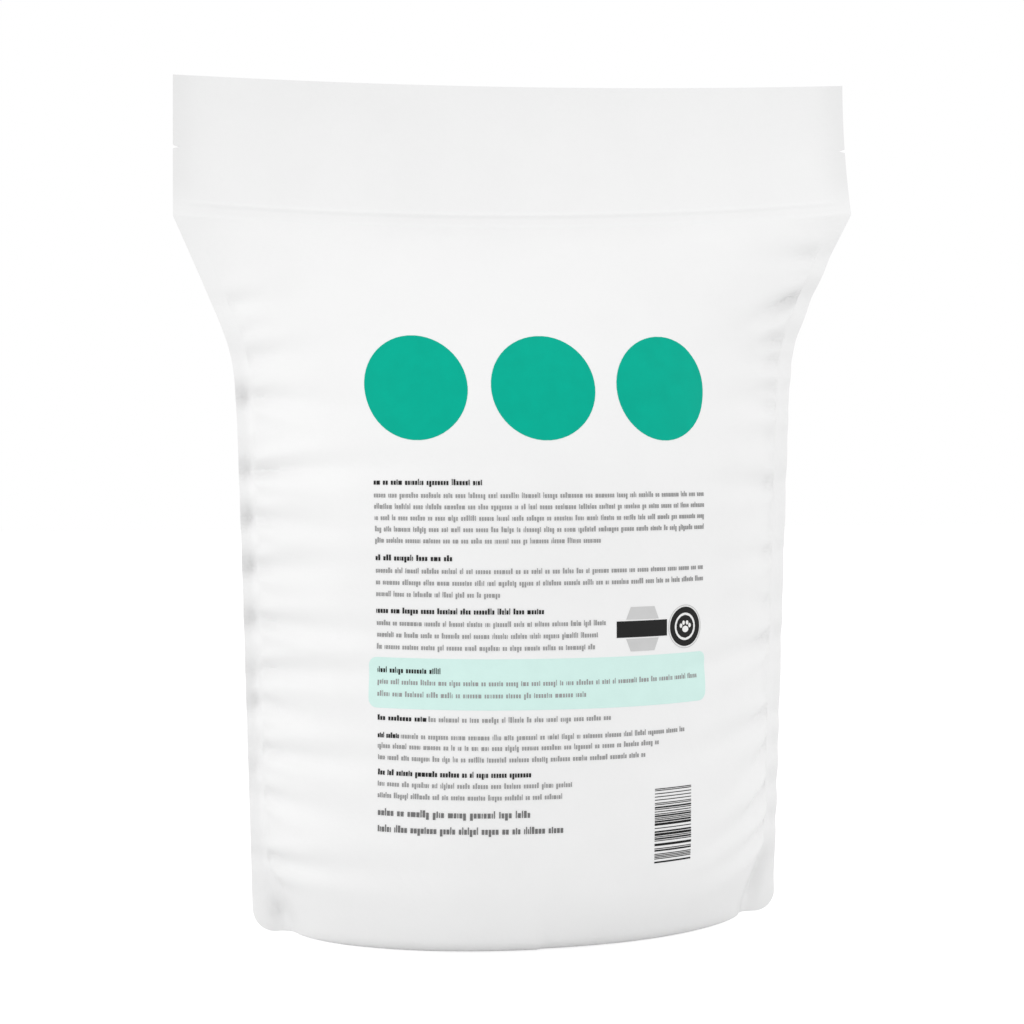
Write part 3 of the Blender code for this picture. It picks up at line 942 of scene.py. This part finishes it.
def white_laminate(colours):
    """Matte-lacquered polyester and polyethylene laminate, blown and laminated film.

    It is an opaque milk white with a soft, wide sheen. The welded side seals were pressed between smooth
    jaws, so they are a little glossier, and the filled panels show the granules faintly.
    """
    material, tree = empty_material("matte laminate film")
    place = (add_node(tree, "ShaderNodeTexCoord"), "Object")
    mottle = add_node(tree, "ShaderNodeTexNoise", {"Scale": 1 / MOTTLE, "Detail": 4.0}, {"Vector": place})
    colour = add_node(tree, "ShaderNodeValToRGB", links={"Fac": (mottle, "Fac")})
    colour.color_ramp.elements[0].position = MOTTLE_RAMP[0]
    colour.color_ramp.elements[0].color = shade_of(colours.film, MOTTLE_SHADE)
    colour.color_ramp.elements[1].position = MOTTLE_RAMP[1]
    colour.color_ramp.elements[1].color = shade_of(colours.film, 1.0)
    # Painted shade: the film's colour is darkened along the header's ends by the mask made with the mesh
    painted_shade = add_node(tree, "ShaderNodeAttribute", {"attribute_name": "painted_header_shade"})
    dimming = add_node(
        tree, "ShaderNodeMath", {"operation": "MULTIPLY_ADD", 1: -PAINTED_SHADE, 2: 1.0}, {0: (painted_shade, "Fac")}
    )
    painted_shade_colour = add_node(
        tree, "ShaderNodeVectorMath", {"operation": "SCALE"},
        {0: (colour, "Color"), "Scale": (dimming, "Value")},
    )
    seal = add_node(tree, "ShaderNodeAttribute", {"attribute_name": "seal"})
    patches = add_node(
        tree, "ShaderNodeTexNoise", {"Scale": 1 / SHEEN_PATCH, "Detail": 3.0}, {"Vector": place}
    )
    low, high = FILM_ROUGHNESS
    rough = add_node(
        tree, "ShaderNodeMapRange",
        {"From Min": NOISE_LOW, "From Max": NOISE_HIGH, "To Min": low, "To Max": high},
        {"Value": (patches, "Fac")},
    )
    pressed = add_node(
        tree, "ShaderNodeMath", {"operation": "MULTIPLY_ADD", 1: -SEAL_SMOOTHNESS},
        {0: (seal, "Fac"), 2: (rough, "Result")},
    )
    relief = film_relief(tree, place)
    shader = add_node(
        tree,
        "ShaderNodeBsdfPrincipled",
        {"IOR": PLASTIC_IOR, "Specular IOR Level": FILM_SPECULAR},
        {"Base Color": (painted_shade_colour, "Vector"), "Roughness": (pressed, "Value"), "Normal": (relief, "Normal")},
    )
    add_node(tree, "ShaderNodeOutputMaterial", links={"Surface": (shader, "BSDF")})
    return material


def flexo_ink(name, colour, roughness, variation):
    """Flexographic ink under the film's matte lacquer, printed from a soft plate.

    It is duller than the bare film, and its colour is uneven by a few per cent where the plate pressed less.
    """
    material, tree = empty_material(name)
    place = (add_node(tree, "ShaderNodeTexCoord"), "Object")
    cloud = add_node(tree, "ShaderNodeTexNoise", {"Scale": 1 / INK_CLOUD, "Detail": 5.0}, {"Vector": place})
    tone = add_node(tree, "ShaderNodeValToRGB", links={"Fac": (cloud, "Fac")})
    tone.color_ramp.elements[0].position = NOISE_LOW
    tone.color_ramp.elements[0].color = shade_of(colour, 1.0 - variation)
    tone.color_ramp.elements[1].position = NOISE_HIGH
    tone.color_ramp.elements[1].color = shade_of(colour, 1.0 + variation)
    low, high = roughness - INK_ROUGHNESS_SPREAD, roughness + INK_ROUGHNESS_SPREAD
    sheen = add_node(
        tree, "ShaderNodeMapRange",
        {"From Min": NOISE_LOW, "From Max": NOISE_HIGH, "To Min": low, "To Max": high},
        {"Value": (cloud, "Fac")},
    )
    relief = film_relief(tree, place)
    shader = add_node(
        tree,
        "ShaderNodeBsdfPrincipled",
        {"IOR": PLASTIC_IOR, "Specular IOR Level": INK_SPECULAR},
        {"Base Color": (tone, "Color"), "Roughness": (sheen, "Result"), "Normal": (relief, "Normal")},
    )
    add_node(tree, "ShaderNodeOutputMaterial", links={"Surface": (shader, "BSDF")})
    return material


# Pieces


def film_map(context):
    pouch = bpy.data.objects.get("film_pouch")
    if pouch is None:
        raise RuntimeError("Make the film pouch before its print")
    return FilmMap(context.scene.pouch_form, pouch)


class POUCH_OT_film(bpy.types.Operator):
    """Make the filled film pouch, with its seals, zip, creases and folded bottom"""

    bl_idname = "litter_pouch.film"
    bl_label = "Film pouch"

    def execute(self, context):
        scene = context.scene
        points, faces, masks = pouch_mesh(scene.pouch_form, scene.film_creases)
        pouch = mesh_object("film_pouch", points, faces, white_laminate(scene.pouch_colours))
        for name, mask in masks.items():
            values = pouch.data.attributes.new(name, "FLOAT", "POINT")
            values.data.foreach_set("value", mask.astype(np.float32))
        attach(pouch, "root")
        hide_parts("litter_bag")
        return {"FINISHED"}


class POUCH_OT_discs(bpy.types.Operator):
    """Print the row of three teal discs"""

    bl_idname = "litter_pouch.discs"
    bl_label = "Teal discs"

    def execute(self, context):
        layout = context.scene.print_layout
        ink = InkLayer(film_map(context), layout.ink_height)
        radius = layout.disc_diameter / 2
        for place in (-1, 0, 1):
            ink.add_oval(place * (layout.disc_diameter + layout.disc_gap), layout.disc_height, radius, radius)
        colour = context.scene.pouch_colours.teal
        teal = flexo_ink("teal flexographic ink", colour, roughness=0.46, variation=0.03)
        ink.make("teal_discs", teal)
        return {"FINISHED"}


class POUCH_OT_band(bpy.types.Operator):
    """Print the pale mint band behind the fourth paragraph"""

    bl_idname = "litter_pouch.band"
    bl_label = "Mint band"

    def execute(self, context):
        layout = context.scene.print_layout
        ink = InkLayer(film_map(context), layout.ink_height)
        top = layout.band_bottom + layout.band_height
        ink.add_block(layout.band_left, layout.band_right, layout.band_bottom, top, layout.band_corner)
        colour = context.scene.pouch_colours.mint
        mint = flexo_ink("mint flexographic ink", colour, roughness=0.48, variation=0.015)
        ink.make("mint_band", mint)
        return {"FINISHED"}


# Paragraphs: the height of the heading and its right end, the height of the first body line,
# the pitch, and the right end of each body line, None where it fills the measure
PARAGRAPHS = (
    (0.2124, -0.0299, 0.2067, 0.00505, (None, None, None, None, 0.0237)),
    (0.1786, -0.0435, 0.1730, 0.00525, (None, None, -0.0222)),
    (0.1550, -0.0025, 0.1495, 0.00530, (0.0261, 0.0223, 0.0209)),
    (0.1283, -0.0488, 0.1232, 0.00540, (0.0762, 0.0167)),
    (0.0825, -0.0082, 0.0776, 0.00520, (0.0104, 0.0059)),
)
# Lines that begin with a dark word: height, end of that word, right end of the line
LED_LINES = (
    (0.1070, -0.0552, 0.0285),
    (0.0992, -0.0680, 0.0680),
)
PLAIN_LINES = (
    (0.0945, 0.0531),
    (0.0893, 0.0459),
)
# Two larger dark lines at the foot of the text: height and right end
LARGE_LINES = (
    (0.0646, -0.0085),
    (0.0573, 0.0066),
)
# Small blocks that stand for the letters of a line: width and lowest and highest edge, in text heights
BLOCK_SHAPES = (
    (0.62, 0.0, 1.0),
    (0.58, 0.0, 1.0),
    (0.66, 0.0, 1.0),
    (0.52, 0.0, 1.0),
    (1.05, 0.0, 1.0),
    (0.22, 0.0, 1.0),
    (0.24, 0.0, 1.50),
    (0.55, 0.0, 1.45),
    (0.30, 0.0, 1.30),
    (0.58, -0.45, 1.0),
)
BLOCK_ODDS = (0.20, 0.16, 0.14, 0.10, 0.05, 0.07, 0.09, 0.08, 0.06, 0.05)
BLOCK_GAP = 0.20
WORD_GAP = 0.62
WORD_BLOCKS = (2, 9)  # a word has at least the first number of blocks, and fewer than the second
SHORTEST_WORD = 1.2  # no word starts closer than this to a line's end, in text heights
HEADING_SIZE = 1.08  # as a share of the body lines' text height
LARGE_SIZE = 1.3
HEADING_WEIGHT = 0.80  # the blocks' width, as a share of the shapes'; the gaps grow as it shrinks
BODY_WEIGHT = 0.72
LARGE_WEIGHT = 0.90
TEXT_SEED = 11


def block_line(draw, left, right, base, text_height, weight):
    """Blocks of one line, in words, stretched to fill it: left, right, bottom and top of each."""
    blocks = []
    at = 0.0
    spread = TEXT_SPREAD * (base - TEXT_FOOT)
    left -= spread if left <= TEXT_LEFT else 0.0
    right += spread if right >= TEXT_RIGHT else 0.0
    length = (right - left) / text_height
    while at < length - SHORTEST_WORD:
        for _ in range(draw.integers(*WORD_BLOCKS)):
            width, low, high = BLOCK_SHAPES[draw.choice(len(BLOCK_SHAPES), p=BLOCK_ODDS)]
            blocks.append((at, at + width * weight, low, high))
            at += width * weight + BLOCK_GAP / weight
        at += WORD_GAP
    filled = blocks[-1][1]
    stretch = (right - left) / filled
    return [
        (left + start * stretch, left + end * stretch, base + low * text_height, base + high * text_height)
        for start, end, low, high in blocks
    ]


def add_blocks(ink, blocks):
    """All blocks of one text, each a closed shell over its four corners."""
    left, right, bottom, top = (np.array(values)[:, None, None] for values in zip(*blocks))
    along = np.array([[[0.0, 1.0], [0.0, 1.0]]])
    up = np.array([[[0.0, 0.0], [1.0, 1.0]]])
    ink.add(left + (right - left) * along, bottom + (top - bottom) * up)


class POUCH_OT_text(bpy.types.Operator):
    """Print the paragraphs as lines of small plain blocks, without letters"""

    bl_idname = "litter_pouch.text"
    bl_label = "Text blocks"

    def execute(self, context):
        layout = context.scene.print_layout
        draw = np.random.default_rng(TEXT_SEED)
        size = layout.x_height
        dark, grey, large = [], [], []
        for heading, heading_end, first, pitch, ends in PARAGRAPHS:
            bottom = heading - size / 2
            dark += block_line(draw, TEXT_LEFT, heading_end, bottom, HEADING_SIZE * size, HEADING_WEIGHT)
            for i, end in enumerate(ends):
                right = TEXT_RIGHT if end is None else end
                bottom = first - i * pitch - size / 2
                grey += block_line(draw, TEXT_LEFT, right, bottom, size, BODY_WEIGHT)
        for height, word_end, right in LED_LINES:
            bottom = height - size / 2
            dark += block_line(draw, TEXT_LEFT, word_end, bottom, size, HEADING_WEIGHT)
            grey += block_line(draw, word_end + WORD_GAP * size, right, bottom, size, BODY_WEIGHT)
        for height, right in PLAIN_LINES:
            grey += block_line(draw, TEXT_LEFT, right, height - size / 2, size, BODY_WEIGHT)
        for height, right in LARGE_LINES:
            bottom = height - LARGE_SIZE / 2 * size
            large += block_line(draw, TEXT_LEFT, right, bottom, LARGE_SIZE * size, LARGE_WEIGHT)
        film = film_map(context)
        colours = context.scene.pouch_colours
        lift = 2 * layout.ink_height
        ink = InkLayer(film, lift)
        add_blocks(ink, dark)
        black = flexo_ink("near-black flexographic ink", colours.dark, roughness=0.46, variation=0.05)
        ink.make("heading_blocks", black)
        ink = InkLayer(film, lift)
        add_blocks(ink, grey)
        grey_ink = flexo_ink("grey flexographic ink", colours.grey, roughness=0.48, variation=0.03)
        ink.make("body_blocks", grey_ink)
        ink = InkLayer(film, lift)
        add_blocks(ink, large)
        softer = halfway_colour(colours.dark, colours.grey)
        soft_black = flexo_ink("soft black flexographic ink", softer, roughness=0.46, variation=0.05)
        ink.make("closing_blocks", soft_black)
        return {"FINISHED"}


# Badges: centres on the film, and sizes
HEXAGON_CENTRE = (0.0447, 0.1464)
HEXAGON_HALF_HEIGHT = 0.0100
HEXAGON_HALF_TOP = 0.0062
HEXAGON_HALF_WIDTH = 0.0103
HEXAGON_BAR = (0.0132, 0.0037)
HEXAGON_BAR_GAP = 0.0006
HEXAGON_ROWS = 5  # of each half
ROUND_CENTRE = (0.0687, 0.1463)
ROUND_RADIUS = 0.0090
ROUND_RIM = (0.0006, 0.0010)  # inner and outer edge of the pale rim, outward from the dark ring
ROUND_RING_INNER = 0.70  # as a share of the radius, as is the next
ROUND_CORE = 0.58
PAW_DROP = 0.0012  # the pad's centre, below the badge's
PAW_PAD = (0.0019, 0.0015)  # half-sizes of the pad and of a toe
PAW_TOE = (0.0008, 0.0010)
TOE_DISTANCE = 0.0031
TOE_TURNS = (-58, -20, 20, 58)


class POUCH_OT_badges(bpy.types.Operator):
    """Print a grey hexagon with a plain dark bar and a round dark badge with a paw"""

    bl_idname = "litter_pouch.badges"
    bl_label = "Badges"

    def execute(self, context):
        layout = context.scene.print_layout
        colours = context.scene.pouch_colours
        film = film_map(context)
        u, z = HEXAGON_CENTRE
        bar_half = HEXAGON_BAR[1] + HEXAGON_BAR_GAP
        slope = (HEXAGON_HALF_WIDTH - HEXAGON_HALF_TOP) / HEXAGON_HALF_HEIGHT
        grey = InkLayer(film, layout.ink_height)
        for side in (-1, 1):
            rows = []
            for share in np.linspace(0.0, 1.0, HEXAGON_ROWS):
                up = bar_half + (HEXAGON_HALF_HEIGHT - bar_half) * share
                half = HEXAGON_HALF_WIDTH - slope * up
                rows.append((z + side * up, u - half, u + half))
            grey.add_rows(rows[::side])
        round_u, round_z = ROUND_CENTRE
        grey.add_ring(round_u, round_z, ROUND_RADIUS + ROUND_RIM[0], ROUND_RADIUS + ROUND_RIM[1])
        paler = halfway_colour(colours.grey, colours.film)
        pale = flexo_ink("pale grey flexographic ink", paler, roughness=0.48, variation=0.03)
        grey.make("pale_badges", pale)

        dark = InkLayer(film, layout.ink_height)
        half_length, half_height = HEXAGON_BAR
        dark.add_block(u - half_length, u + half_length, z - half_height, z + half_height)
        dark.add_ring(round_u, round_z, ROUND_RING_INNER * ROUND_RADIUS, ROUND_RADIUS)
        dark.add_oval(round_u, round_z, ROUND_CORE * ROUND_RADIUS, ROUND_CORE * ROUND_RADIUS)
        black = flexo_ink("dark badge ink", colours.dark, roughness=0.46, variation=0.05)
        dark.make("dark_badges", black)

        paw = InkLayer(film, 2 * layout.ink_height)
        paw.add_oval(round_u, round_z - PAW_DROP, *PAW_PAD)
        for turn in TOE_TURNS:
            away = math.radians(turn)
            toe_u = round_u + TOE_DISTANCE * math.sin(away)
            toe_z = round_z - PAW_DROP + TOE_DISTANCE * math.cos(away)
            paw.add_oval(toe_u, toe_z, *PAW_TOE)
        bare = flexo_ink("unprinted film in a badge", colours.film, roughness=0.48, variation=0.01)
        paw.make("badge_paw", bare)
        return {"FINISHED"}


# Bar pattern: its place on the film
CODE_LEFT = 0.0512
CODE_RIGHT = 0.0718
CODE_BOTTOM = 0.0392
CODE_MODULES = 95
CODE_SEED = 5
LINE_WIDTHS, LINE_ODDS = (1, 1, 2, 3), (0.35, 0.25, 0.25, 0.15)  # in modules, as are the next
SPACE_WIDTHS, SPACE_ODDS = (1, 2, 3), (0.5, 0.3, 0.2)


class POUCH_OT_code(bpy.types.Operator):
    """Print the bar pattern, drawn at random, with its lines across the pouch"""

    bl_idname = "litter_pouch.code"
    bl_label = "Bar pattern"

    def execute(self, context):
        layout = context.scene.print_layout
        draw = np.random.default_rng(CODE_SEED)
        ink = InkLayer(film_map(context), layout.ink_height)
        at = 0
        while at < CODE_MODULES:
            line = min(int(draw.choice(LINE_WIDTHS, p=LINE_ODDS)), CODE_MODULES - at)
            bottom = CODE_BOTTOM + at * layout.code_module
            ink.add_block(CODE_LEFT, CODE_RIGHT, bottom, bottom + line * layout.code_module)
            at += line + int(draw.choice(SPACE_WIDTHS, p=SPACE_ODDS))
        colour = context.scene.pouch_colours.dark
        black = flexo_ink("bar pattern ink", colour, roughness=0.46, variation=0.05)
        ink.make("bar_pattern", black)
        return {"FINISHED"}


# Studio

FLOOR_SIZE = 9.0
FLOOR_COLOUR = "#E6E6E6"
FLOOR_GLOW = 0.86  # with the shaded share it shows as plain white
WHITE = (1.0, 1.0, 1.0, 1.0)
# Lamps: place, diameter
LEFT_LAMP = ((-2.1, -0.5, 0.7), 1.4)
RIGHT_LAMP = ((1.8, -1.2, 0.2), 1.2)
LAMP_TARGET = (0.0, 0.0, 0.2)


def seen_directly(tree):
    """1 for rays that show a surface to the camera straight, in a reflection or through glass."""
    path = add_node(tree, "ShaderNodeLightPath")
    glossy = add_node(
        tree, "ShaderNodeMath", {"operation": "MAXIMUM"},
        {0: (path, "Is Camera Ray"), 1: (path, "Is Glossy Ray")},
    )
    return add_node(
        tree, "ShaderNodeMath", {"operation": "MAXIMUM"},
        {0: (glossy, "Value"), 1: (path, "Is Transmission Ray")},
    )


def floor_paper(setup):
    """Seamless background paper, uncoated: it shows as plain white and keeps a soft shadow."""
    material, tree = empty_material("seamless background paper")
    plain = add_node(tree, "ShaderNodeBsdfDiffuse", {"Color": (*linear_colour(FLOOR_COLOUR), 1.0)})
    shaded = add_node(tree, "ShaderNodeBsdfDiffuse", {"Color": (*[setup.floor_diffuse] * 3, 1.0)})
    glow = add_node(tree, "ShaderNodeEmission", {"Color": WHITE, "Strength": FLOOR_GLOW})
    shown = add_node(tree, "ShaderNodeAddShader", links={0: (shaded, "BSDF"), 1: (glow, "Emission")})
    mix = add_node(
        tree, "ShaderNodeMixShader",
        links={0: (seen_directly(tree), "Value"), 1: (plain, "BSDF"), 2: (shown, "Shader")},
    )
    add_node(tree, "ShaderNodeOutputMaterial", links={"Surface": (mix, "Shader")})
    return material


def white_world(setup):
    world = bpy.data.worlds.new("white studio")
    world.use_nodes = True
    tree = world.node_tree
    tree.nodes.clear()
    light = add_node(tree, "ShaderNodeBackground", {"Color": WHITE, "Strength": setup.ambient})
    shown = add_node(tree, "ShaderNodeBackground", {"Color": WHITE, "Strength": 1.0})
    mix = add_node(
        tree, "ShaderNodeMixShader",
        links={0: (seen_directly(tree), "Value"), 1: (light, "Background"), 2: (shown, "Background")},
    )
    add_node(tree, "ShaderNodeOutputWorld", links={"Surface": (mix, "Shader")})
    return world


def aim(thing, target):
    """Turns a lamp so that its -Z axis points at a place."""
    away = [own - other for own, other in zip(thing.location, target)]
    flat = math.hypot(away[0], away[1])
    thing.rotation_euler = (math.atan2(flat, away[2]), 0.0, math.atan2(away[0], -away[1]))


def soft_lamp(name, place, diameter, power):
    """A round diffusing lamp aimed at the pouch."""
    data = bpy.data.lights.new(name, "AREA")
    data.shape = "DISK"
    data.size = diameter
    data.energy = power
    lamp = bpy.data.objects.new(name, data)
    lamp.location = place
    aim(lamp, LAMP_TARGET)
    bpy.context.scene.collection.objects.link(lamp)


class POUCH_OT_studio(bpy.types.Operator):
    """Make the floor, the world, the lamps and the camera"""

    bl_idname = "litter_pouch.studio"
    bl_label = "Studio"

    def execute(self, context):
        scene = context.scene
        setup = scene.studio_setup
        half = FLOOR_SIZE / 2
        corners = half * np.array([(-1.0, -1.0, 0.0), (1.0, -1.0, 0.0), (1.0, 1.0, 0.0), (-1.0, 1.0, 0.0)])
        floor = mesh_object("studio_floor", corners, np.array([[0, 1, 2, 3]]), floor_paper(setup))
        scene.world = white_world(setup)

        soft_lamp("left_lamp", *LEFT_LAMP, setup.left_power)
        soft_lamp("right_lamp", *RIGHT_LAMP, setup.right_power)

        view = bpy.data.cameras.new("camera")
        view.lens = setup.lens
        view.shift_x = setup.shift_x
        view.shift_y = setup.shift_y
        camera = bpy.data.objects.new("camera", view)
        turn, away = setup.camera_turn, setup.camera_distance
        camera.location = (-away * math.sin(turn), -away * math.cos(turn), setup.camera_height)
        camera.rotation_euler = (math.pi / 2, 0.0, -turn)
        scene.collection.objects.link(camera)
        scene.camera = camera
        scene.view_settings.view_transform = "Standard"
        return {"FINISHED"}


PROPERTY_GROUPS = {
    "pouch_form": PouchForm,
    "film_creases": FilmCreases,
    "print_layout": PrintLayout,
    "pouch_colours": PouchColours,
    "studio_setup": StudioSetup,
}
OPERATORS = (
    POUCH_OT_studio,
    POUCH_OT_film,
    POUCH_OT_discs,
    POUCH_OT_band,
    POUCH_OT_text,
    POUCH_OT_badges,
    POUCH_OT_code,
)


class POUCH_PT_panel(bpy.types.Panel):
    """Lists the pouch's pieces and their settings"""

    bl_idname = "POUCH_PT_panel"
    bl_label = "Litter pouch"
    bl_space_type = "VIEW_3D"
    bl_region_type = "UI"
    bl_category = "Litter pouch"

    def draw(self, context):
        for operator in OPERATORS:
            self.layout.operator(operator.bl_idname)
        for name, group in PROPERTY_GROUPS.items():
            box = self.layout.box()
            box.label(text=group.__name__)
            for setting in group.__annotations__:
                box.prop(getattr(context.scene, name), setting)


def register():
    for group in PROPERTY_GROUPS.values():
        bpy.utils.register_class(group)
    for name, group in PROPERTY_GROUPS.items():
        setattr(bpy.types.Scene, name, PointerProperty(type=group))
    for each in (*OPERATORS, POUCH_PT_panel):
        bpy.utils.register_class(each)


def unregister():
    for each in reversed((*OPERATORS, POUCH_PT_panel)):
        bpy.utils.unregister_class(each)
    for name in PROPERTY_GROUPS:
        delattr(bpy.types.Scene, name)
    for group in reversed(PROPERTY_GROUPS.values()):
        bpy.utils.unregister_class(group)


def main():
    register()
    bpy.ops.litter_pouch.studio()
    bpy.ops.litter_pouch.film()
    bpy.ops.litter_pouch.discs()
    bpy.ops.litter_pouch.band()
    bpy.ops.litter_pouch.text()
    bpy.ops.litter_pouch.badges()
    bpy.ops.litter_pouch.code()


if __name__ == "__main__":
    main()
